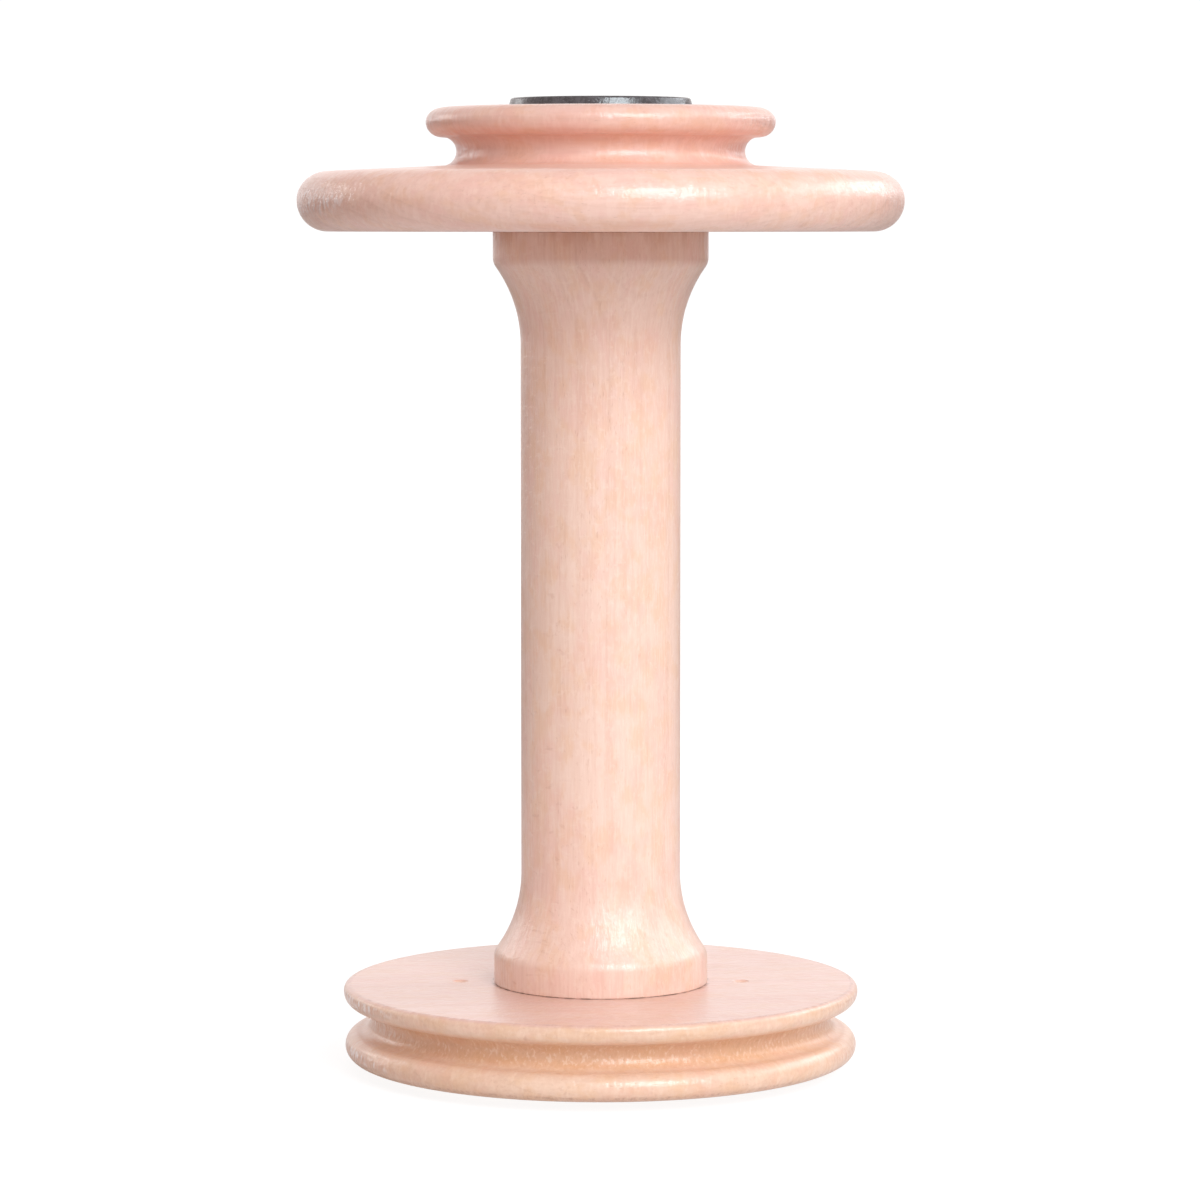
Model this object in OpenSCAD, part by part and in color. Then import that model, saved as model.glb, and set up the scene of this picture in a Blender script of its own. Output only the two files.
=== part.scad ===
// Spinning wheel bobbin, standing on end.
//
// Turned and varnished maple on black plastic bearings. A barrel with a
// flared collar at each end has a tenon at both ends. The thick brake whorl
// is glued on the lower tenon, the wide flange and the small drive whorl on
// the upper one, and a flanged bush is pressed into each tenon. The bobbin
// turns on a shaft that runs through both bushes.
//
// +Z runs along the bobbin, from the brake whorl to the drive whorl. The
// origin is the middle of the lower bush's thrust face, which the bobbin
// stands on. All sizes are in millimetres.

/* [Overall] */
// Length of the wooden body, end face to end face
wood_len = 140; // [120:1:180]

/* [Barrel] */
// Diameter of the straight middle of the barrel
barrel_d = 23.5; // [20:0.5:26]
// Diameter of the collar at each end
collar_d = 31.6; // [29:0.2:36]
// Height at which the flare would meet the collar with a sharp corner
collar_h = 4.6; // [3.4:0.2:7]
// Length from a disc's face to the straight part of the barrel
flare_len = 16.5; // [13:0.5:24]
// Radius of the eased corner between collar and flare
collar_ease = 2.5; // [0.5:0.5:3]
// Clearance bore through the middle of the barrel
barrel_bore_d = 13; // [11:0.5:15]
// Diameter of the tenons that carry the discs
tenon_d = 22; // [20:0.5:24]
// Glue gap around the tenons, on the radius
glue_gap = 0.05; // [0.02:0.01:0.15]

/* [Flange] */
// Outside diameter of the flange
flange_d = 88.8; // [80:0.2:110]
// Thickness of the flange where the drive whorl is glued to it
flange_h = 9.7; // [9.6:0.1:13]
// Thickness of the flange at its rounded rim
flange_rim_h = 8.75; // [7.5:0.25:9]

/* [Drive whorl] */
// Outside diameter of the drive whorl
drive_d = 51.1; // [46:0.1:64]
// Diameter at the bottom of the belt groove
drive_groove_d = 42.2; // [38:0.2:44]
// Radius of the belt groove's round section
drive_groove_r = 2.1; // [1.6:0.1:2.2]

/* [Brake whorl] */
// Outside diameter of the brake whorl
brake_d = 76.1; // [70:0.1:90]
// Thickness of the brake whorl
brake_h = 11.1; // [10.8:0.1:16]
// Radius of the bead below the groove
brake_bead_r = 2.05; // [1.7:0.05:2.2]
// Radius of the brake cord groove's round section
brake_groove_r = 2.05; // [1.7:0.05:2.2]
// How far the groove's centre lies inside the whorl's edge
brake_groove_in = 2.05; // [1.9:0.05:2.4]

/* [Leader holes] */
// Diameter of the two holes that the leader is tied through
leader_d = 2.1; // [1.5:0.1:3.5]
// Distance of the leader holes from the axis
leader_r = 20.8; // [18:0.2:28]

/* [Bearings] */
// Diameter of the shaft bore in the bushes
shaft_bore_d = 9.6; // [6.4:0.1:10.4]
// Diameter of the bush that is pressed into the tenon
bush_d = 16; // [15.5:0.5:18]
// Length of the bush below its flange
bush_len = 14; // [8:1:20]
// Diameter of the bush's thrust flange
bush_flange_d = 26.9; // [24.6:0.1:28]
// Thickness of the bush's thrust flange
bush_flange_h = 1.4; // [1:0.1:2.5]

/* [Hidden] */
$fn = 128;

maple = [0.90, 0.74, 0.60];
maple_light = [0.93, 0.79, 0.66];
maple_deep = [0.88, 0.71, 0.57];
black = [0.13, 0.13, 0.14];

// Heights of the faces along the axis
wood_z0 = bush_flange_h;
face_lo = wood_z0 + brake_h;              // collar sits on the brake whorl
wood_z1 = wood_z0 + wood_len;
drive_h = 8.3;
glue_z = wood_z1 - drive_h;               // drive whorl sits on the flange
face_hi = glue_z - flange_h;              // collar meets the flange

barrel_r = barrel_d / 2;
collar_r = collar_d / 2;
tenon_r = tenon_d / 2;
seat_h = bush_len + 0.5;

// Points on a circular arc and on an elliptical arc, in radius and height
function arc(cr, cz, r, a0, a1, n) =
    [for (i = [0:n]) let (a = a0 + (a1 - a0) * i / n) [cr + r * cos(a), cz + r * sin(a)]];
function earc(cr, cz, rr, rz, a0, a1, n) =
    [for (i = [0:n]) let (a = a0 + (a1 - a0) * i / n) [cr + rr * cos(a), cz + rz * sin(a)]];
function heading(p, q) = atan2(q[1] - p[1], q[0] - p[0]);
function gap(p, q) = norm([q[0] - p[0], q[1] - p[1]]);

// The flare is a hollow arc that runs off the barrel without a corner and
// would meet the collar at collar_h. Its corner there is eased by a small
// arc. Both are laid out upwards from a face at height 0.
rise = collar_r - barrel_r;
flare_rad = (pow(flare_len - collar_h, 2) + rise * rise) / (2 * rise);
flare_c = [barrel_r + flare_rad, flare_len];
ease_c = [collar_r - collar_ease,
          flare_len - sqrt(pow(flare_rad + collar_ease, 2)
                           - pow(flare_c[0] - collar_r + collar_ease, 2))];
ease_a = heading(ease_c, flare_c);
flare_pts = concat(
    [[collar_r, 0]],
    arc(ease_c[0], ease_c[1], collar_ease, 0, ease_a, 6),
    arc(flare_c[0], flare_c[1], flare_rad, 180 + ease_a, 180, 12));

// A solid turned from an outline whose first and last points are closed off
// along the axis
module turned(pts) {
    rotate_extrude()
        polygon(concat([[0, pts[0][1]]], pts, [[0, pts[len(pts) - 1][1]]]));
}

module bore(d, z0, z1) {
    translate([0, 0, z0]) cylinder(d = d, h = z1 - z0);
}

module barrel() {
    n = len(flare_pts);
    color(maple_light)
    difference() {
        turned(concat(
            [[tenon_r, wood_z0], [tenon_r, face_lo]],
            [for (p = flare_pts) [p[0], face_lo + p[1]]],
            [for (i = [n - 1:-1:0]) [flare_pts[i][0], face_hi - flare_pts[i][1]]],
            [[tenon_r, face_hi], [tenon_r, wood_z1]]));
        bore(barrel_bore_d, wood_z0 - 1, wood_z1 + 1);
        bore(bush_d, wood_z0 - 1, wood_z0 + seat_h);
        bore(bush_d, wood_z1 - seat_h, wood_z1 + 1);
    }
}

// The flange's rim is a full round below and an ellipse above. Its upper face
// falls slightly towards the rim, and the belt groove's floor runs out on it.
rim_c = [flange_d / 2 - 4.5, face_hi + 4.5];
rim_top_c = [flange_d / 2 - 4.6, face_hi + 4.5];
groove_c = [drive_groove_d / 2 + drive_groove_r, glue_z - 0.15 + drive_groove_r];
groove_a = 180 + asin((groove_c[1] - glue_z) / drive_groove_r);

module flange() {
    color(maple)
    difference() {
        turned(concat(
            arc(rim_c[0], rim_c[1], 4.5, -90, 0, 18),
            earc(rim_top_c[0], rim_top_c[1], 4.6, flange_rim_h - 4.5, 5, 90, 17),
            arc(groove_c[0], groove_c[1], drive_groove_r, 270, groove_a, 4)));
        bore(tenon_d + 2 * glue_gap, face_hi - 1, glue_z + 1);
    }
}

// The drive whorl's rim is round below, next to the groove, and a flatter
// ellipse above.
drive_lip_r = 2.2;
drive_lip_c = [drive_d / 2 - drive_lip_r, groove_c[1] + drive_groove_r + drive_lip_r];

module drive_whorl() {
    color(maple_deep)
    difference() {
        turned(concat(
            arc(groove_c[0], groove_c[1], drive_groove_r, groove_a, 90, 20),
            arc(drive_lip_c[0], drive_lip_c[1], drive_lip_r, -90, 0, 14),
            earc(drive_d / 2 - 2.6, drive_lip_c[1], 2.6, wood_z1 - drive_lip_c[1], 7, 90, 13)));
        bore(tenon_d + 2 * glue_gap, glue_z - 1, wood_z1 + 1);
    }
}

// Bead, groove and rim of the brake whorl, from the bottom up. Straight
// lines that touch both arcs join the groove to its neighbours.
bead_c = [brake_d / 2 - 0.2 - brake_bead_r, wood_z0 + brake_bead_r];
brake_groove_c = [brake_d / 2 - brake_groove_in, wood_z0 + 2 * brake_bead_r + brake_groove_r];
lip_r = 1.75;
lip_c = [brake_d / 2 - lip_r, brake_groove_c[1] + brake_groove_r + lip_r];
edge_r = 0.9;
bead_a = heading(bead_c, brake_groove_c)
    - acos(min(1, (brake_bead_r + brake_groove_r) / gap(bead_c, brake_groove_c)));
lip_a = heading(lip_c, brake_groove_c)
    + acos(min(1, (lip_r + brake_groove_r) / gap(lip_c, brake_groove_c)));

module brake_whorl() {
    color(maple)
    difference() {
        turned(concat(
            arc(bead_c[0], bead_c[1], brake_bead_r, -90, bead_a, 26),
            arc(brake_groove_c[0], brake_groove_c[1], brake_groove_r, 180 + bead_a, 180 + lip_a, 26),
            arc(lip_c[0], lip_c[1], lip_r, lip_a, 0, 14),
            arc(brake_d / 2 - edge_r, face_lo - edge_r, edge_r, 0, 90, 9)));
        bore(tenon_d + 2 * glue_gap, wood_z0 - 1, face_lo + 1);
        for (side = [-1, 1])
            translate([side * leader_r, 0, wood_z0 - 1])
                cylinder(d = leader_d, h = brake_h + 2);
    }
}

// A flanged bush, laid out with its thrust face at height 0 and its body
// going up into the wood
module bush() {
    body_r = bush_d / 2;
    flange_r = bush_flange_d / 2;
    difference() {
        turned(concat(
            arc(flange_r - 0.4, 0.4, 0.4, -90, 0, 5),
            [[flange_r, bush_flange_h], [body_r, bush_flange_h],
             [body_r, bush_flange_h + bush_len - 0.6], [body_r - 0.6, bush_flange_h + bush_len]]));
        bore(shaft_bore_d, -1, bush_flange_h + bush_len + 1);
        translate([0, 0, -0.01])
            cylinder(d1 = shaft_bore_d + 0.82, d2 = shaft_bore_d, h = 0.41);
    }
}

module lower_bearing() {
    color(black) bush();
}

module upper_bearing() {
    color(black)
    translate([0, 0, wood_z1 + bush_flange_h]) rotate([180, 0, 0]) bush();
}

barrel();
flange();
drive_whorl();
brake_whorl();
upper_bearing();
lower_bearing();
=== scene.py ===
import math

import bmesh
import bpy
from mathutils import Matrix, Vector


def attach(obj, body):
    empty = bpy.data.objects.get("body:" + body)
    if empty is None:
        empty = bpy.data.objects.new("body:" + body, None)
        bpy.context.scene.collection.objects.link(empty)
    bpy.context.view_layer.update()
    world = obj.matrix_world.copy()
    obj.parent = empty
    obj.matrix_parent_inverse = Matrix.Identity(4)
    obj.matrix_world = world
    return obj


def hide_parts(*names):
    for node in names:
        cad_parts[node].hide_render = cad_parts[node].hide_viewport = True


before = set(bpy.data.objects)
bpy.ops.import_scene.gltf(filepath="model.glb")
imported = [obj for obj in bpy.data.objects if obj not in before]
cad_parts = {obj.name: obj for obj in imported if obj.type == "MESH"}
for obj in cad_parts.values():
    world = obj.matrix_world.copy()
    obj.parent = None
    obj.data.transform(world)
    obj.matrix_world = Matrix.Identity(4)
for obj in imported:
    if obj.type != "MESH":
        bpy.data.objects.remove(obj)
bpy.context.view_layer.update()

# A turned and varnished maple bobbin on black plastic bushes. Every piece is
# a fine lathe mesh made from the same sizes as the frame, in metres, with a
# solid wood texture that runs through it, so that side grain and end grain
# fall where a lathe would leave them.

MM = 0.001

# ---------------------------------------------------------------- outlines
# Sizes in millimetres, radius and height.

WOOD_Z0, FACE_LO, FACE_HI, GLUE_Z, WOOD_Z1, TOP = 1.4, 12.5, 123.4, 133.1, 141.4, 142.8
BARREL_R, COLLAR_R, TENON_R, BORE_R, SEAT_R = 11.75, 15.8, 11.0, 6.5, 8.0


def arc(cr, cz, r, a0, a1, n):
    return [(cr + r * math.cos(math.radians(a0 + (a1 - a0) * i / n)),
             cz + r * math.sin(math.radians(a0 + (a1 - a0) * i / n))) for i in range(n + 1)]


def earc(cr, cz, rr, rz, a0, a1, n):
    return [(cr + rr * math.cos(math.radians(a0 + (a1 - a0) * i / n)),
             cz + rz * math.sin(math.radians(a0 + (a1 - a0) * i / n))) for i in range(n + 1)]


def run(p, q, n):
    """n points from p towards q, without q."""
    return [(p[0] + (q[0] - p[0]) * i / n, p[1] + (q[1] - p[1]) * i / n) for i in range(n)]


def heading(p, q):
    return math.degrees(math.atan2(q[1] - p[1], q[0] - p[0]))


def gap(p, q):
    return math.hypot(q[0] - p[0], q[1] - p[1])


def barrel_outline():
    collar_h, flare_len, ease = 4.6, 16.5, 2.5
    rise = COLLAR_R - BARREL_R
    fr = ((flare_len - collar_h) ** 2 + rise * rise) / (2 * rise)
    fc = (BARREL_R + fr, flare_len)
    ec = (COLLAR_R - ease, flare_len - math.sqrt((fr + ease) ** 2 - (fc[0] - COLLAR_R + ease) ** 2))
    ea = heading(ec, fc)
    flare = (arc(ec[0], ec[1], ease, 0, ea, 14) + arc(fc[0], fc[1], fr, 180 + ea, 180, 40)[1:])
    c = 0.16  # the turned corner at the collar's foot
    painted_bead_shade = [(COLLAR_R - c, 0)] + arc(COLLAR_R - c, c, c, -90, 0, 4)[1:] + run((COLLAR_R, c), (COLLAR_R, ec[1]), 6)[1:]
    side = painted_bead_shade + flare
    low = [(r, FACE_LO + z) for r, z in side]
    high = [(r, FACE_HI - z) for r, z in reversed(side)]
    outer = ([(TENON_R, WOOD_Z0)] + run((TENON_R, WOOD_Z0 + 0.3), (TENON_R, FACE_LO), 4)
             + [(TENON_R, FACE_LO)] + low[:-1] + run(low[-1], high[0], 40) + high + [(TENON_R, FACE_HI)]
             + run((TENON_R, FACE_HI + 0.3), (TENON_R, WOOD_Z1), 4) + [(TENON_R, WOOD_Z1)])
    inner = [(SEAT_R, WOOD_Z1), (SEAT_R, WOOD_Z1 - 14.5), (BORE_R, WOOD_Z1 - 14.5)]
    inner += run((BORE_R, WOOD_Z1 - 15), (BORE_R, WOOD_Z0 + 15), 20)
    inner += [(BORE_R, WOOD_Z0 + 14.5), (SEAT_R, WOOD_Z0 + 14.5), (SEAT_R, WOOD_Z0)]
    return outer + inner


def flange_outline():
    gc = (23.2, GLUE_Z - 0.15 + 2.1)
    ga = 180 + math.degrees(math.asin((gc[1] - GLUE_Z) / 2.1))
    low = run((11.05, FACE_HI), (39.9, FACE_HI), 24) + arc(39.9, FACE_HI + 4.5, 4.5, -90, 0, 40)
    top = earc(39.8, FACE_HI + 4.5, 4.6, 4.25, 2, 90, 44)
    face = run(top[-1], (23.2, GLUE_Z - 0.15), 14)[1:]
    floor = arc(gc[0], gc[1], 2.1, 270, ga, 8)
    return low + top + face + floor + run(floor[-1], (11.05, GLUE_Z), 8)[1:] + run((11.05, GLUE_Z), (11.05, FACE_HI), 4)


def drive_outline():
    gc = (23.2, GLUE_Z - 0.15 + 2.1)
    ga = 180 + math.degrees(math.asin((gc[1] - GLUE_Z) / 2.1))
    lc = (23.35, gc[1] + 4.3)
    low = run((11.05, GLUE_Z), (gc[0] + 2.1 * math.cos(math.radians(ga)), GLUE_Z), 8)
    painted_groove_shade = arc(gc[0], gc[1], 2.1, ga, 90, 40)
    lip = arc(lc[0], lc[1], 2.2, -90, 0, 26)
    top = earc(22.95, lc[1], 2.6, WOOD_Z1 - lc[1], 3, 90, 30)
    return low + painted_groove_shade + lip + top + run(top[-1], (11.05, WOOD_Z1), 12)[1:] + run((11.05, WOOD_Z1), (11.05, GLUE_Z), 4)


def brake_outline():
    bc, bg = (35.8, WOOD_Z0 + 2.05), (36.0, WOOD_Z0 + 6.15)
    lc, lr = (36.3, bg[1] + 2.05 + 1.75), 1.75
    ba = heading(bc, bg) - math.degrees(math.acos(min(1, 4.1 / gap(bc, bg))))
    la = heading(lc, bg) + math.degrees(math.acos(min(1, (lr + 2.05) / gap(lc, bg))))
    low = run((11.05, WOOD_Z0), (35.8, WOOD_Z0), 22)
    bead = arc(bc[0], bc[1], 2.05, -90, ba, 40)
    painted_groove_shade = arc(bg[0], bg[1], 2.05, 180 + ba, 180 + la, 44)
    lip = arc(lc[0], lc[1], lr, la, 0, 24)
    edge = arc(37.15, FACE_LO - 0.9, 0.9, 0, 90, 16)
    return low + bead + painted_groove_shade + lip + edge + run(edge[-1], (11.05, FACE_LO), 24)[1:] + run((11.05, FACE_LO), (11.05, WOOD_Z0), 4)


def bush_outline():
    """Thrust face at height 0, body going up."""
    out = run((5.21, 0), (12.8, 0), 12) + arc(12.8, 0.42, 0.42, -90, -14, 10)
    out += [(13.44, 1.25)] + arc(13.35, 1.3, 0.1, 0, 90, 3) + run((13.2, 1.4), (8.0, 1.4), 4)
    out += run((8.0, 1.4), (8.0, 14.8), 8) + [(8.0, 14.8), (7.4, 15.4)]
    out += run((7.3, 15.4), (4.8, 15.4), 3) + run((4.8, 15.4), (4.8, 0.4), 10)
    out += [(4.8, 0.4), (5.0, 0.16), (5.1, 0.06)]
    return out


def lathe(name, outline, segments, holes=()):
    """A closed solid turned about Z from a closed outline, with crisp corners kept crisp."""
    pts = []
    for p in outline:
        if not pts or gap(p, pts[-1]) > 1e-4:
            pts.append(p)
    if gap(pts[0], pts[-1]) < 1e-4:
        pts.pop()
    bm = bmesh.new()
    rings = []
    for k in range(segments):
        a = 2 * math.pi * k / segments
        c, s = math.cos(a) * MM, math.sin(a) * MM
        rings.append([bm.verts.new((r * c, r * s, z * MM)) for r, z in pts])
    n = len(pts)
    for k in range(segments):
        a, b = rings[k], rings[(k + 1) % segments]
        for i in range(n):
            j = (i + 1) % n
            bm.faces.new((a[i], b[i], b[j], a[j]))
    bmesh.ops.recalc_face_normals(bm, faces=bm.faces)
    mesh = bpy.data.meshes.new(name)
    bm.to_mesh(mesh)
    bm.free()
    ob = bpy.data.objects.new(name, mesh)
    bpy.context.scene.collection.objects.link(ob)
    for x, y, outline_h in holes:
        cutter = lathe_solid(outline_h, 48)
        cutter.location = (x * MM, y * MM, 0)
        m = ob.modifiers.new("hole", "BOOLEAN")
        m.operation, m.solver, m.object = "DIFFERENCE", "EXACT", cutter
        bpy.context.view_layer.update()
        dg = bpy.context.evaluated_depsgraph_get()
        made = bpy.data.meshes.new_from_object(ob.evaluated_get(dg))
        ob.modifiers.clear()
        old = ob.data
        ob.data = made
        bpy.data.meshes.remove(old)
        bpy.data.objects.remove(cutter)
    ob.data.name = name
    ob.data.shade_smooth()
    ob.data.set_sharp_from_angle(angle=math.radians(28))
    return ob


def lathe_solid(outline, segments):
    """A closed solid turned from an outline that starts and ends on the axis."""
    bm = bmesh.new()
    first = bm.verts.new((0, 0, outline[0][1] * MM))
    last = bm.verts.new((0, 0, outline[-1][1] * MM))
    body = outline[1:-1]
    rings = []
    for k in range(segments):
        a = 2 * math.pi * k / segments
        c, s = math.cos(a) * MM, math.sin(a) * MM
        rings.append([bm.verts.new((r * c, r * s, z * MM)) for r, z in body])
    for k in range(segments):
        a, b = rings[k], rings[(k + 1) % segments]
        bm.faces.new((first, a[0], b[0]))
        for i in range(len(body) - 1):
            bm.faces.new((a[i], b[i], b[i + 1], a[i + 1]))
        bm.faces.new((last, b[-1], a[-1]))
    bmesh.ops.recalc_face_normals(bm, faces=bm.faces)
    mesh = bpy.data.meshes.new("cutter")
    bm.to_mesh(mesh)
    bm.free()
    ob = bpy.data.objects.new("cutter", mesh)
    bpy.context.scene.collection.objects.link(ob)
    return ob


# ---------------------------------------------------------------- materials


class Nodes:
    """Short names for the shader nodes used below. Numbers and sockets mix freely."""

    def __init__(self, name):
        self.mat = bpy.data.materials.new(name)
        self.mat.use_nodes = True
        self.tree = self.mat.node_tree
        self.tree.nodes.clear()
        self.out = self.tree.nodes.new("ShaderNodeOutputMaterial")
        self.bsdf = self.tree.nodes.new("ShaderNodeBsdfPrincipled")
        self.link(self.bsdf.outputs[0], self.out.inputs[0])

    def link(self, a, b):
        self.tree.links.new(a, b)

    def put(self, socket, value):
        if isinstance(value, bpy.types.NodeSocket):
            self.link(value, socket)
        elif value is not None:
            socket.default_value = value

    def math(self, op, a, b=None, c=None, clamp=False):
        n = self.tree.nodes.new("ShaderNodeMath")
        n.operation, n.use_clamp = op, clamp
        for s, v in zip(n.inputs, (a, b, c)):
            self.put(s, v)
        return n.outputs[0]

    def vec(self, op, a, b=None):
        n = self.tree.nodes.new("ShaderNodeVectorMath")
        n.operation = op
        self.put(n.inputs[0], a)
        if op == "SCALE":
            self.put(n.inputs["Scale"], b)
        else:
            self.put(n.inputs[1], b)
        return n.outputs["Value" if op in ("LENGTH", "DOT_PRODUCT") else "Vector"]

    def split(self, v):
        n = self.tree.nodes.new("ShaderNodeSeparateXYZ")
        self.link(v, n.inputs[0])
        return n.outputs

    def join(self, x, y, z):
        n = self.tree.nodes.new("ShaderNodeCombineXYZ")
        for s, v in zip(n.inputs, (x, y, z)):
            self.put(s, v)
        return n.outputs[0]

    def noise(self, v, scale=1.0, detail=2.0, rough=0.5, distortion=0.0):
        n = self.tree.nodes.new("ShaderNodeTexNoise")
        self.link(v, n.inputs["Vector"])
        n.inputs["Scale"].default_value = scale
        n.inputs["Detail"].default_value = detail
        n.inputs["Roughness"].default_value = rough
        n.inputs["Distortion"].default_value = distortion
        return n.outputs["Fac"]

    def cells(self, v, scale=1.0, randomness=1.0):
        n = self.tree.nodes.new("ShaderNodeTexVoronoi")
        self.link(v, n.inputs["Vector"])
        n.inputs["Scale"].default_value = scale
        n.inputs["Randomness"].default_value = randomness
        return n.outputs["Distance"]

    def ramp(self, fac, stops, smooth=False):
        n = self.tree.nodes.new("ShaderNodeValToRGB")
        n.color_ramp.interpolation = "EASE" if smooth else "LINEAR"
        e = n.color_ramp.elements
        while len(e) < len(stops):
            e.new(0.5)
        for k, (p, c) in enumerate(stops):
            e[k].position = p
            e[k].color = (c, c, c, 1) if isinstance(c, (int, float)) else (*c, 1)
        self.link(fac, n.inputs[0])
        return n.outputs[0]

    def span(self, v, a, b, lo=0.0, hi=1.0):
        """v from a..b to lo..hi, eased and clamped."""
        n = self.tree.nodes.new("ShaderNodeMapRange")
        n.interpolation_type = "SMOOTHSTEP"
        self.put(n.inputs["Value"], v)
        for s, x in (("From Min", a), ("From Max", b), ("To Min", lo), ("To Max", hi)):
            n.inputs[s].default_value = x
        return n.outputs["Result"]

    def mix(self, fac, a, b, blend="MIX"):
        n = self.tree.nodes.new("ShaderNodeMix")
        n.data_type, n.blend_type, n.clamp_factor = "RGBA", blend, True
        self.put(n.inputs[0], fac)
        for s, v in ((n.inputs[6], a), (n.inputs[7], b)):
            self.put(s, (*v, 1) if isinstance(v, tuple) and len(v) == 3 else v)
        return n.outputs[2]

    def bump(self, height, strength, distance, normal=None):
        n = self.tree.nodes.new("ShaderNodeBump")
        n.inputs["Strength"].default_value = strength
        n.inputs["Distance"].default_value = distance
        self.link(height, n.inputs["Height"])
        if normal is not None:
            self.link(normal, n.inputs["Normal"])
        return n.outputs[0]

    def mm(self):
        """The place on the object in millimetres, which is the same in every pose."""
        n = self.tree.nodes.new("ShaderNodeTexCoord")
        return self.vec("SCALE", n.outputs["Object"], 1000.0)


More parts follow.
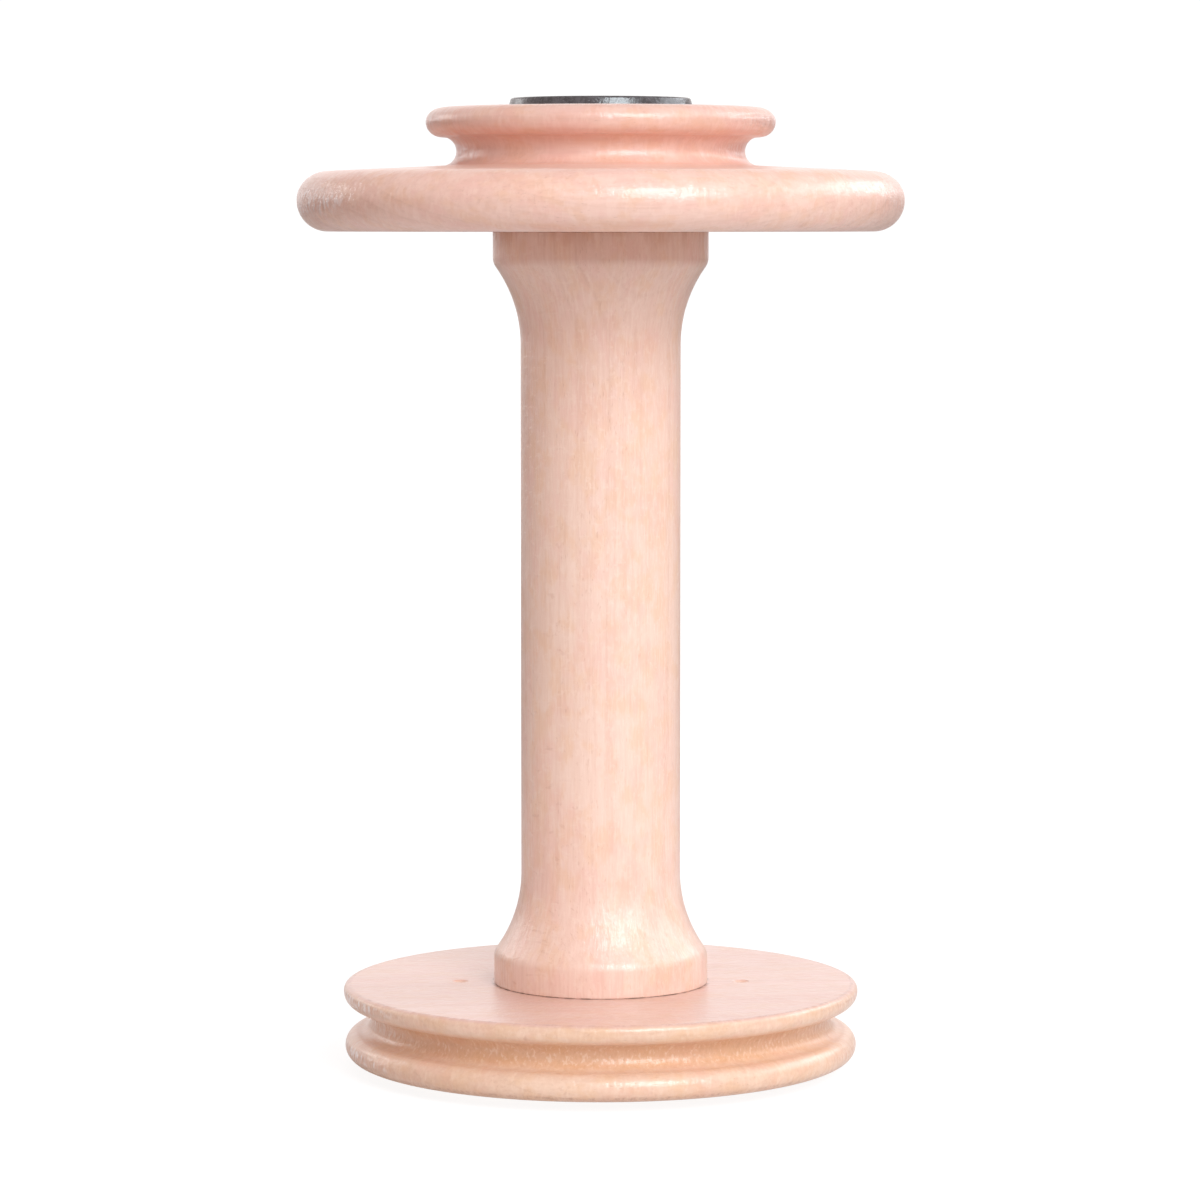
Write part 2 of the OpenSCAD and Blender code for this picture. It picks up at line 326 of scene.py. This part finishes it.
def maple(name, pale, body, deep, grain, turn, pith, spacing, seed, marks=None):
    """Varnished maple as a solid, cut from one board. grain is the axis that the fibres follow, turned
    by a few degrees. pith is where the middle of the tree lay, across the board and below its face."""
    k = Nodes(name)
    place = k.mm()
    px, py, pz = k.split(place)
    c, s = math.cos(math.radians(turn)), math.sin(math.radians(turn))
    if grain == "Z":
        along, across, deepw = (0, 0, 1), (c, s, 0), (-s, c, 0)
    else:
        along, across, deepw = (c, s, 0), (-s, c, 0), (0, 0, 1)
    g = k.vec("DOT_PRODUCT", place, along)
    t = k.vec("DOT_PRODUCT", place, across)
    n = k.vec("DOT_PRODUCT", place, deepw)
    board = k.join(k.math("SUBTRACT", t, pith[0]), k.math("SUBTRACT", n, pith[1]), k.math("ADD", g, seed * 137.0))
    t, n, g = k.split(board)
    coord = k.tree.nodes.new("ShaderNodeTexCoord")
    facing = k.math("ABSOLUTE", k.vec("DOT_PRODUCT", coord.outputs["Normal"], along))
    end = k.span(facing, 0.45, 0.98)

    def grained(a, b):
        return k.vec("MULTIPLY", board, (a, a, b))

    # growth rings, a little uneven, with a thin darker line at the end of each year
    slow = k.noise(grained(0.030, 0.0050), 1, 2, 0.5)
    quick = k.noise(grained(0.26, 0.014), 1, 2, 0.6)
    rho = k.vec("LENGTH", k.join(t, n, 0.0))
    bent = k.math("ADD", rho, k.math("MULTIPLY_ADD", slow, 8.0, k.math("MULTIPLY", quick, 0.6)))
    years = k.math("DIVIDE", bent, spacing)
    uneven = k.noise(k.join(k.math("MULTIPLY", years, 0.43), seed * 3.1, 0.0), 1, 2, 0.5)
    years = k.math("ADD", years, k.math("MULTIPLY", uneven, 1.1))
    late = k.ramp(k.math("FRACT", years), [(0.0, 0.50), (0.06, 0.0), (0.55, 0.10), (0.86, 0.36), (0.95, 1.0), (1.0, 0.50)])
    late = k.math("MULTIPLY", late, k.span(k.noise(k.join(years, seed * 1.7, k.math("MULTIPLY", g, 0.006)), 0.9, 1), 0.3, 0.75, 0.25, 1.0))

    # fibres: long fine streaks on side grain, dots on end grain
    fibre = k.noise(grained(1.5, 0.040), 1, 3, 0.62)
    hair = k.noise(grained(2.8, 0.12), 1, 2, 0.6)
    fleece = k.noise(grained(1.3, 0.32), 1, 3, 0.6)

    # rays: thin plates that point at the pith, fine upright lines on a disc's rim
    turnwise = k.math("MULTIPLY", k.math("ARCTAN2", t, n), 75.0)
    ray_at = k.join(k.math("MULTIPLY", turnwise, 2.3), k.math("MULTIPLY", rho, 0.24), k.math("MULTIPLY", g, 0.85))
    ray = k.noise(ray_at, 1, 2, 0.6)
    flecks = k.span(ray, 0.60, 0.72)
    flecks = k.math("MULTIPLY", flecks, k.span(k.noise(grained(0.09, 0.030), 1, 2, 0.5), 0.38, 0.66))
    tick = k.noise(k.join(k.math("MULTIPLY", turnwise, 0.9), k.math("MULTIPLY", rho, 0.50), k.math("MULTIPLY", g, 1.25)), 1, 2, 0.6)
    ticks = k.span(tick, 0.56, 0.68)

    # vessels: sparse thin dark dashes along the grain
    cell = k.cells(grained(2.6, 0.42), 1.0)
    vessel = k.span(cell, 0.05, 0.20, 1.0, 0.0)
    vessel = k.math("MULTIPLY", vessel, k.span(k.noise(grained(0.22, 0.05), 1, 2, 0.5), 0.44, 0.60))

    # slow drifts of tone over the board, and a faint curl across the grain
    cloud = k.noise(grained(0.080, 0.020), 1, 3, 0.55)
    blush = k.noise(k.vec("ADD", grained(0.05, 0.018), (31.0, 7.0, 11.0)), 1, 2, 0.5)
    mottle = k.noise(k.vec("ADD", grained(0.30, 0.20), (5.0, 3.0, 9.0)), 1, 3, 0.62)
    bloom = k.noise(k.vec("ADD", grained(0.26, 0.15), (15.0, 23.0, 2.0)), 1, 2, 0.6)
    curl = k.noise(grained(0.16, 0.85), 1, 2, 0.5)

    red = (deep[0] * 0.82, deep[1] * 0.68, deep[2] * 0.60)
    dark = (deep[0] * 0.56, deep[1] * 0.40, deep[2] * 0.30)
    rosy = (body[0] * 1.01, body[1] * 0.94, body[2] * 0.985)
    amber = (body[0] * 0.99, body[1] * 0.90, body[2] * 0.76)
    colour = k.mix(k.span(cloud, 0.3, 0.7), pale, body)
    colour = k.mix(k.math("MULTIPLY", k.span(blush, 0.35, 0.7), 0.45), colour, rosy)
    colour = k.mix(k.math("MULTIPLY", k.span(mottle, 0.44, 0.62), 0.60), colour, amber)
    colour = k.mix(k.math("MULTIPLY", k.span(bloom, 0.46, 0.64), 0.40), colour, (body[0] * 1.0, body[1] * 0.86, body[2] * 0.90))
    colour = k.mix(k.math("MULTIPLY", k.span(curl, 0.42, 0.68), 0.07), colour, pale)
    colour = k.mix(k.math("MULTIPLY", late, k.math("MULTIPLY_ADD", end, 0.10, 0.30)), colour, deep)
    colour = k.mix(k.math("MULTIPLY", k.span(fibre, 0.42, 0.70), 0.22), colour, deep)
    colour = k.mix(k.math("MULTIPLY", k.span(hair, 0.48, 0.74), 0.10), colour, deep)
    colour = k.mix(k.math("MULTIPLY", flecks, 0.26), colour, red)
    colour = k.mix(k.math("MULTIPLY", vessel, 0.28), colour, dark)
    # pale upright ticks where the rays cross the rim, painted as glints: a painted highlight
    colour = k.mix(k.math("MULTIPLY", ticks, 0.34), colour, pale)
    # end grain drinks more varnish: it is browner, with light and dark dots
    colour = k.mix(k.math("MULTIPLY", end, 0.30), colour, deep)
    colour = k.mix(k.math("MULTIPLY", end, k.math("MULTIPLY", k.span(fleece, 0.50, 0.70), 0.16)), colour, dark)
    colour = k.mix(k.math("MULTIPLY", end, k.math("MULTIPLY", k.span(ray, 0.56, 0.68), 0.34)), colour, pale)
    # the cut ends of the fibres are darkened, and short silvery strokes are painted on them as glints, a painted
    # highlight
    strokes = k.noise(k.join(k.math("MULTIPLY", turnwise, 1.15), k.math("MULTIPLY", rho, 0.62), k.math("MULTIPLY", g, 1.3)), 1, 2, 0.6)
    cut = k.span(facing, 0.80, 0.96)
    colour = k.mix(k.math("MULTIPLY", cut, 0.38), colour, (deep[0] * 0.98, deep[1] * 0.92, deep[2] * 0.98))
    painted_glint = k.math("MULTIPLY", cut, k.span(strokes, 0.48, 0.63))
    # the painted glints are stronger towards the left (-x) end, the side that the light from behind-left falls on
    painted_glint = k.math("MULTIPLY", painted_glint, k.span(px, -12.0, 22.0, 1.0, 0.30))
    colour = k.mix(k.math("MULTIPLY", painted_glint, 0.64), colour, (0.96, 0.88, 0.88))
    # faint upright pale strokes painted as glints, a painted highlight, where the turning tool crossed the fibres; the
    # same noise also roughens the film
    chatter_and_glint = k.noise(k.join(k.math("MULTIPLY", k.math("ARCTAN2", py, px), 34.0), k.math("MULTIPLY", k.vec("LENGTH", k.join(px, py, 0.0)), 0.5), k.math("MULTIPLY", pz, 0.42)), 1, 2, 0.55)
    colour = k.mix(k.math("MULTIPLY", k.span(chatter_and_glint, 0.50, 0.64), 0.30), colour, (min(1.0, pale[0] * 1.04), pale[1] * 1.06, pale[2] * 1.08))
    if marks:
        colour = marks(k, place, colour)
    k.link(colour, k.bsdf.inputs["Base Color"])

    rough = k.math("MULTIPLY_ADD", fibre, 0.16, k.math("MULTIPLY_ADD", flecks, 0.10, 0.40))
    k.link(rough, k.bsdf.inputs["Roughness"])

    # the wood under the varnish, then the film over it, which half fills the grain
    wood = k.math("MULTIPLY_ADD", hair, 0.55, k.math("MULTIPLY", fibre, 0.45))
    wood = k.math("SUBTRACT", wood, k.math("MULTIPLY", vessel, 0.8))
    wood = k.math("MULTIPLY_ADD", ray, 0.30, wood)
    open_end = k.math("MULTIPLY", end, k.math("MULTIPLY_ADD", fleece, 1.0, k.math("MULTIPLY", ray, 0.8)))
    k.link(k.bump(k.math("MULTIPLY_ADD", open_end, 1.2, wood), 0.35, 0.00008), k.bsdf.inputs["Normal"])
    rad = k.vec("LENGTH", k.join(px, py, 0.0))
    rings = k.noise(k.join(k.math("MULTIPLY", rad, 3.0), k.math("MULTIPLY", pz, 3.0), k.math("MULTIPLY", k.math("ARCTAN2", py, px), 0.3)), 1, 2, 0.6)
    peel = k.noise(place, 0.65, 2, 0.5)
    grit = k.noise(grained(1.7, 0.8), 1, 2, 0.55)
    film = k.math("MULTIPLY_ADD", peel, 2.2, k.math("MULTIPLY_ADD", chatter_and_glint, 3.0, k.math("MULTIPLY", rings, 0.20)))
    film = k.math("MULTIPLY_ADD", grit, 1.2, k.math("MULTIPLY_ADD", wood, 0.35, film))
    film = k.math("MULTIPLY_ADD", ticks, 0.9, k.math("MULTIPLY_ADD", ray, 0.35, film))
    film = k.math("MULTIPLY_ADD", k.math("MULTIPLY", cut, strokes), 16.0, k.math("MULTIPLY_ADD", open_end, 0.8, film))
    k.link(k.bump(film, 0.60, 0.00008), k.bsdf.inputs["Coat Normal"])
    k.bsdf.inputs["IOR"].default_value = 1.45
    k.bsdf.inputs["Coat Weight"].default_value = 1.0
    k.bsdf.inputs["Coat Roughness"].default_value = 0.28
    k.bsdf.inputs["Coat IOR"].default_value = 1.5
    return k.mat


def glue_and_painted_shade_on_barrel(k, place, colour):
    """A thin broken line of glue and dust where each collar meets its disc, and painted shade on the barrel's upper
    end, darker and redder just under the flange.
    """
    px, py, pz = k.split(place)
    broken = k.span(k.noise(k.vec("MULTIPLY", place, (0.8, 0.8, 0.1)), 1, 3, 0.6), 0.40, 0.60)
    low = k.span(pz, FACE_LO + 0.02, FACE_LO + 0.17, 1.0, 0.0)
    high = k.span(pz, FACE_HI - 0.17, FACE_HI - 0.02)
    line = k.math("MULTIPLY", k.math("MAXIMUM", low, high), k.math("MULTIPLY_ADD", broken, 0.65, 0.2))
    # painted shade: the upper end of the barrel is darkened and reddened in broken upright streaks, just under the
    # flange
    streaks = k.span(k.noise(k.vec("MULTIPLY", place, (0.55, 0.55, 0.10)), 1, 3, 0.65), 0.40, 0.66)
    painted_flange_shade = k.math("MULTIPLY", k.span(pz, FACE_HI - 4.5, FACE_HI), k.math("MULTIPLY_ADD", streaks, 0.42, 0.10))
    colour = k.mix(painted_flange_shade, colour, (0.66, 0.32, 0.19))
    return k.mix(line, colour, (0.16, 0.075, 0.04))


def glue_and_painted_light_on_brake(k, place, colour):
    """The foot line of the collar on the inner face, painted shade in the cord groove and low on the bead, a painted
    sheen on the inner face, and the leader holes painted lighter, a painted light in their shade.
    """
    px, py, pz = k.split(place)
    rad = k.vec("LENGTH", k.join(px, py, 0.0))
    top = k.math("GREATER_THAN", pz, FACE_LO - 0.05)
    inside = k.math("LESS_THAN", rad, COLLAR_R + 0.02)
    fade = k.span(rad, COLLAR_R + 0.10, COLLAR_R + 0.60, 1.0, 0.0)
    broken = k.span(k.noise(k.vec("MULTIPLY", place, (0.7, 0.7, 0.7)), 1, 3, 0.6), 0.40, 0.62)
    line = k.math("MULTIPLY", k.math("MULTIPLY", k.math("MAXIMUM", inside, fade), top), broken)
    colour = k.mix(k.math("MULTIPLY", line, 0.75), colour, (0.30, 0.15, 0.085))
    # painted shade in the cord groove: its recess is painted darker and more orange
    painted_groove_shade = k.math("MULTIPLY", k.span(rad, 34.0, 35.7, 1.0, 0.0), k.span(pz, 5.2, 6.2))
    painted_groove_shade = k.math("MULTIPLY", painted_groove_shade, k.span(pz, 8.9, 9.7, 1.0, 0.0))
    painted_groove_shade = k.math("MULTIPLY", painted_groove_shade, k.span(rad, 33.0, 33.6))
    colour = k.mix(k.math("MULTIPLY", painted_groove_shade, 0.52), colour, (0.71, 0.345, 0.145))
    speck = k.noise(k.vec("MULTIPLY", place, (2.0, 2.0, 1.1)), 1, 2, 0.6, 0.4)
    inside_rim = k.math("MULTIPLY", k.span(rad, 32.5, 33.5), k.span(pz, FACE_LO - 0.6, FACE_LO - 0.2, 1.0, 0.0))
    inside_rim = k.math("MULTIPLY", inside_rim, k.math("MULTIPLY_ADD", painted_groove_shade, 0.65, 0.35))
    # dark specks on the rim and in the groove, then pale specks painted on as glints, a painted highlight
    colour = k.mix(k.math("MULTIPLY", inside_rim, k.math("MULTIPLY", k.span(speck, 0.54, 0.66), 0.26)), colour, (0.60, 0.30, 0.15))
    colour = k.mix(k.math("MULTIPLY", inside_rim, k.math("MULTIPLY", k.span(speck, 0.46, 0.34), 0.34)), colour, (0.96, 0.76, 0.62))
    # broken dark lines on the rim's edges: pore dashes along the inner face's edge, and a thin broken line of painted
    # shade low on the bead
    dashes = k.span(k.noise(k.join(k.math("MULTIPLY", px, 1.3), k.math("MULTIPLY", py, 1.3), 0.0), 1, 3, 0.7), 0.42, 0.66)
    edge = k.math("MULTIPLY", k.span(rad, 36.8, 37.1), k.span(rad, 37.3, 37.6, 1.0, 0.0))
    edge = k.math("MULTIPLY", edge, k.span(pz, FACE_LO - 0.35, FACE_LO - 0.15))
    painted_bead_shade = k.math("MULTIPLY", k.span(pz, 1.75, 1.95), k.span(pz, 2.15, 2.45, 1.0, 0.0))
    painted_bead_shade = k.math("MULTIPLY", painted_bead_shade, k.span(rad, 34.0, 35.0))
    colour = k.mix(k.math("MULTIPLY", k.math("MAXIMUM", edge, painted_bead_shade), k.math("MULTIPLY_ADD", dashes, 0.38, 0.06)), colour, (0.40, 0.17, 0.11))
    # painted reflection: the inner face is tinted cooler and pinker, as a sheen
    face = k.span(pz, FACE_LO - 0.45, FACE_LO - 0.05)
    colour = k.mix(face, colour, k.mix(1.0, colour, (0.955, 0.93, 1.06), "MULTIPLY"))
    dash = k.span(k.noise(k.vec("MULTIPLY", place, (0.30, 1.9, 1.0)), 1, 2, 0.6), 0.58, 0.68)
    dash = k.math("MULTIPLY", dash, k.span(k.noise(k.vec("MULTIPLY", place, (0.07, 0.10, 0.1)), 1, 1), 0.40, 0.60))
    colour = k.mix(k.math("MULTIPLY", k.math("MULTIPLY", face, dash), 0.30), colour, (0.66, 0.34, 0.27))
    # painted light: the leader holes are painted paler, to lift the shade inside them
    painted_hole_light = k.math("LESS_THAN", k.vec("LENGTH", k.join(k.math("SUBTRACT", k.math("ABSOLUTE", px), 20.8), py, 0.0)), 1.12)
    return k.mix(k.math("MULTIPLY", painted_hole_light, 0.70), colour, (0.96, 0.70, 0.58))


def glue_on_flange(k, place, colour):
    """The joint with the drive whorl, in the floor of the belt groove."""
    px, py, pz = k.split(place)
    line = k.span(pz, GLUE_Z - 0.035, GLUE_Z - 0.005)
    return k.mix(k.math("MULTIPLY", line, 0.35), colour, (0.34, 0.17, 0.10))


def plastic(name):
    """Black moulded plastic, worn to a semi-gloss grey, with faint turning rings and handling scuffs."""
    k = Nodes(name)
    place = k.mm()
    px, py, pz = k.split(place)
    rad = k.vec("LENGTH", k.join(px, py, 0.0))
    angle = k.math("ARCTAN2", py, px)
    grain = k.noise(place, 6.0, 3, 0.6)
    rings = k.noise(k.join(k.math("MULTIPLY", rad, 7.0), k.math("MULTIPLY", angle, 0.4), k.math("MULTIPLY", pz, 7.0)), 1, 2, 0.6)
    patch = k.noise(place, 0.45, 3, 0.6)
    worn = k.span(k.noise(place, 1.3, 3, 0.65, 0.3), 0.42, 0.64)
    scuff = k.span(k.noise(k.vec("MULTIPLY", place, (1.2, 6.0, 3.0)), 1, 3, 0.7, 0.5), 0.58, 0.72)
    colour = k.mix(k.span(patch, 0.3, 0.7), (0.034, 0.030, 0.032), (0.058, 0.053, 0.058))
    colour = k.mix(k.math("MULTIPLY", worn, 0.30), colour, (0.15, 0.14, 0.155))
    colour = k.mix(k.math("MULTIPLY", scuff, 0.25), colour, (0.36, 0.345, 0.39))
    k.link(colour, k.bsdf.inputs["Base Color"])
    rough = k.math("MULTIPLY_ADD", patch, 0.14, k.math("MULTIPLY_ADD", grain, 0.06, 0.14))
    k.link(k.math("ADD", rough, k.math("MULTIPLY", scuff, 0.14)), k.bsdf.inputs["Roughness"])
    h = k.math("ADD", k.math("MULTIPLY_ADD", worn, 0.8, k.math("MULTIPLY", grain, 0.4)), k.math("MULTIPLY", rings, 0.5))
    k.link(k.bump(h, 0.40, 0.00005), k.bsdf.inputs["Normal"])
    k.bsdf.inputs["IOR"].default_value = 1.80
    return k.mat


# ---------------------------------------------------------------- the pieces

SEG = 320
hole = [(0, -1.0), (1.35, -1.0), (1.35, WOOD_Z0 - 0.001), (1.05, WOOD_Z0 + 0.28), (1.05, FACE_LO - 0.22), (1.27, FACE_LO + 0.001), (1.27, FACE_LO + 1.0), (0, FACE_LO + 1.0)]

barrel = lathe("barrel_turned", barrel_outline(), SEG)
flange = lathe("flange_turned", flange_outline(), SEG)
drive = lathe("drive_whorl_turned", drive_outline(), SEG)
brake = lathe("brake_whorl_turned", brake_outline(), SEG, holes=[(20.8, 0, hole), (-20.8, 0, hole)])
bush_up = lathe("upper_bearing_moulded", [(r, TOP - z) for r, z in bush_outline()], 192)
bush_down = lathe("lower_bearing_moulded", bush_outline(), 192)

barrel.data.materials.append(maple(
    "maple_barrel", (0.92, 0.66, 0.54), (0.875, 0.595, 0.475), (0.70, 0.40, 0.285), "Z", 20, (14.0, -58.0), 2.7, 1.0, glue_and_painted_shade_on_barrel))
flange.data.materials.append(maple(
    "maple_flange", (0.93, 0.62, 0.51), (0.88, 0.56, 0.45), (0.69, 0.39, 0.29), "X", 6, (10.0, 52.0), 2.4, 2.0, glue_on_flange))
drive.data.materials.append(maple(
    "maple_drive_whorl", (0.865, 0.565, 0.47), (0.815, 0.505, 0.41), (0.66, 0.375, 0.29), "X", -9, (-12.0, 60.0), 2.6, 3.0))
brake.data.materials.append(maple(
    "maple_brake_whorl", (0.84, 0.585, 0.44), (0.795, 0.53, 0.38), (0.62, 0.355, 0.235), "X", 8, (18.0, -74.0), 2.5, 4.0, glue_and_painted_light_on_brake))
black = plastic("black_plastic_satin")
bush_up.data.materials.append(black)
bush_down.data.materials.append(black)

for piece, node, slot in (
    (barrel, "barrel", "varnished_maple"),
    (flange, "flange", "varnished_maple"),
    (drive, "drive_whorl", "varnished_maple"),
    (brake, "brake_whorl", "varnished_maple"),
    (bush_up, "upper_bearing", "black_plastic"),
    (bush_down, "lower_bearing", "black_plastic"),
):
    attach(piece, "root")
    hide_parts(node)

# ---------------------------------------------------------------- the studio

scene = bpy.context.scene
scene.view_settings.view_transform = "Standard"
scene.view_settings.look = "None"
scene.cycles.use_denoising = True

cam = bpy.data.cameras.new("camera")
cam.lens, cam.sensor_width = 134.04, 36.0
cam.clip_start, cam.clip_end = 0.02, 20.0
eye = bpy.data.objects.new("camera", cam)
eye.location = (-0.0001, -0.6562, 0.12445)
eye.rotation_euler = (math.radians(90 - 4.807), 0, 0)
scene.collection.objects.link(eye)
scene.camera = eye


def softbox(name, az, el, distance, width, height, power, colour=(1, 1, 1), aim=(0, 0, 0.08)):
    """A soft light seen from the object at az degrees right of the camera and el degrees up."""
    a, e = math.radians(az), math.radians(el)
    way = Vector((math.sin(a) * math.cos(e), -math.cos(a) * math.cos(e), math.sin(e)))
    lamp = bpy.data.lights.new(name, "AREA")
    lamp.shape, lamp.size, lamp.size_y = "RECTANGLE", width, height
    lamp.energy, lamp.color = power, colour
    ob = bpy.data.objects.new(name, lamp)
    ob.location = Vector(aim) + way * distance
    ob.rotation_euler = (-way).to_track_quat("-Z", "Y").to_euler()
    ob.visible_camera = False
    scene.collection.objects.link(ob)
    return ob


softbox("key", 24, 28, 1.0, 0.50, 0.60, 7.8, (0.90, 1.0, 1.05))
softbox("side", 108, 27, 1.0, 0.80, 0.40, 2.5, (0.92, 1.0, 1.06))
softbox("rim", 136, 24, 1.0, 0.32, 0.26, 0.70, (0.94, 1.0, 1.05))
softbox("back", 184, 16, 1.0, 0.90, 0.80, 1.45)
softbox("kicker", 230, 16, 1.0, 0.34, 0.40, 1.1)

# An even and slightly warm room, whose walls are white to the camera.
world = bpy.data.worlds.new("room")
scene.world = world
world.use_nodes = True
wt = world.node_tree
wt.nodes.clear()
w_out = wt.nodes.new("ShaderNodeOutputWorld")
w_mix = wt.nodes.new("ShaderNodeMixShader")
w_seen = wt.nodes.new("ShaderNodeBackground")
w_room = wt.nodes.new("ShaderNodeBackground")
w_path = wt.nodes.new("ShaderNodeLightPath")
w_seen.inputs["Color"].default_value = (1, 1, 1, 1)
w_seen.inputs["Strength"].default_value = 1.05
w_room.inputs["Color"].default_value = (1, 0.89, 0.87, 1)
w_room.inputs["Strength"].default_value = 0.58
wt.links.new(w_path.outputs["Is Camera Ray"], w_mix.inputs[0])
wt.links.new(w_room.outputs[0], w_mix.inputs[1])
wt.links.new(w_seen.outputs[0], w_mix.inputs[2])
wt.links.new(w_mix.outputs[0], w_out.inputs[0])

# A plain pale floor, lit until it is white, with only a faint shadow near the object. It
# throws less light back further out. It can't be seen from below, so that the underside
# can, and a small patch of it glows under the object to light that side.
bm = bmesh.new()
bmesh.ops.create_circle(bm, cap_ends=True, segments=96, radius=6.0)
floor_mesh = bpy.data.meshes.new("floor")
bm.to_mesh(floor_mesh)
bm.free()
floor = bpy.data.objects.new("floor", floor_mesh)
floor.location = (0, 0, -0.0001)
scene.collection.objects.link(floor)
fm = bpy.data.materials.new("pale_floor")
fm.use_nodes = True
ft = fm.node_tree
ft.nodes.clear()


def f_node(kind, **values):
    n = ft.nodes.new(kind)
    for name, v in values.items():
        n.inputs[name.replace("_", " ")].default_value = v
    return n


f_out = f_node("ShaderNodeOutputMaterial")
f_path, f_geo, f_tc = f_node("ShaderNodeLightPath"), f_node("ShaderNodeNewGeometry"), f_node("ShaderNodeTexCoord")
f_dif = f_node("ShaderNodeBsdfDiffuse", Color=(0.86, 0.86, 0.86, 1))
f_bounce = f_node("ShaderNodeBsdfDiffuse")
f_glow = f_node("ShaderNodeEmission", Strength=1.15)
f_far = f_node("ShaderNodeMapRange", From_Min=0.09, From_Max=0.30, To_Min=0.76, To_Max=0.98)
f_len = ft.nodes.new("ShaderNodeVectorMath")
f_len.operation = "LENGTH"
ft.links.new(f_tc.outputs["Object"], f_len.inputs[0])
ft.links.new(f_len.outputs["Value"], f_far.inputs["Value"])
f_pale = f_node("ShaderNodeMapRange", From_Min=0.10, From_Max=0.40, To_Min=0.82, To_Max=0.28)
ft.links.new(f_len.outputs["Value"], f_pale.inputs["Value"])
ft.links.new(f_pale.outputs[0], f_bounce.inputs["Color"])
f_seen = f_node("ShaderNodeMixShader")
ft.links.new(f_far.outputs[0], f_seen.inputs[0])
ft.links.new(f_dif.outputs[0], f_seen.inputs[1])
ft.links.new(f_glow.outputs[0], f_seen.inputs[2])
f_lamp = f_node("ShaderNodeEmission", Strength=0.6)
f_under = ft.nodes.new("ShaderNodeMath")
f_under.operation = "LESS_THAN"
f_under.inputs[1].default_value = 0.034
ft.links.new(f_len.outputs["Value"], f_under.inputs[0])
f_lit = f_node("ShaderNodeMixShader")
ft.links.new(f_under.outputs[0], f_lit.inputs[0])
ft.links.new(f_bounce.outputs[0], f_lit.inputs[1])
ft.links.new(f_lamp.outputs[0], f_lit.inputs[2])
f_top = f_node("ShaderNodeMixShader")
ft.links.new(f_path.outputs["Is Camera Ray"], f_top.inputs[0])
ft.links.new(f_lit.outputs[0], f_top.inputs[1])
ft.links.new(f_seen.outputs[0], f_top.inputs[2])
f_mix = f_node("ShaderNodeMixShader")
ft.links.new(f_geo.outputs["Backfacing"], f_mix.inputs[0])
ft.links.new(f_top.outputs[0], f_mix.inputs[1])
ft.links.new(f_node("ShaderNodeBsdfTransparent").outputs[0], f_mix.inputs[2])
ft.links.new(f_mix.outputs[0], f_out.inputs[0])
floor.data.materials.append(fm)
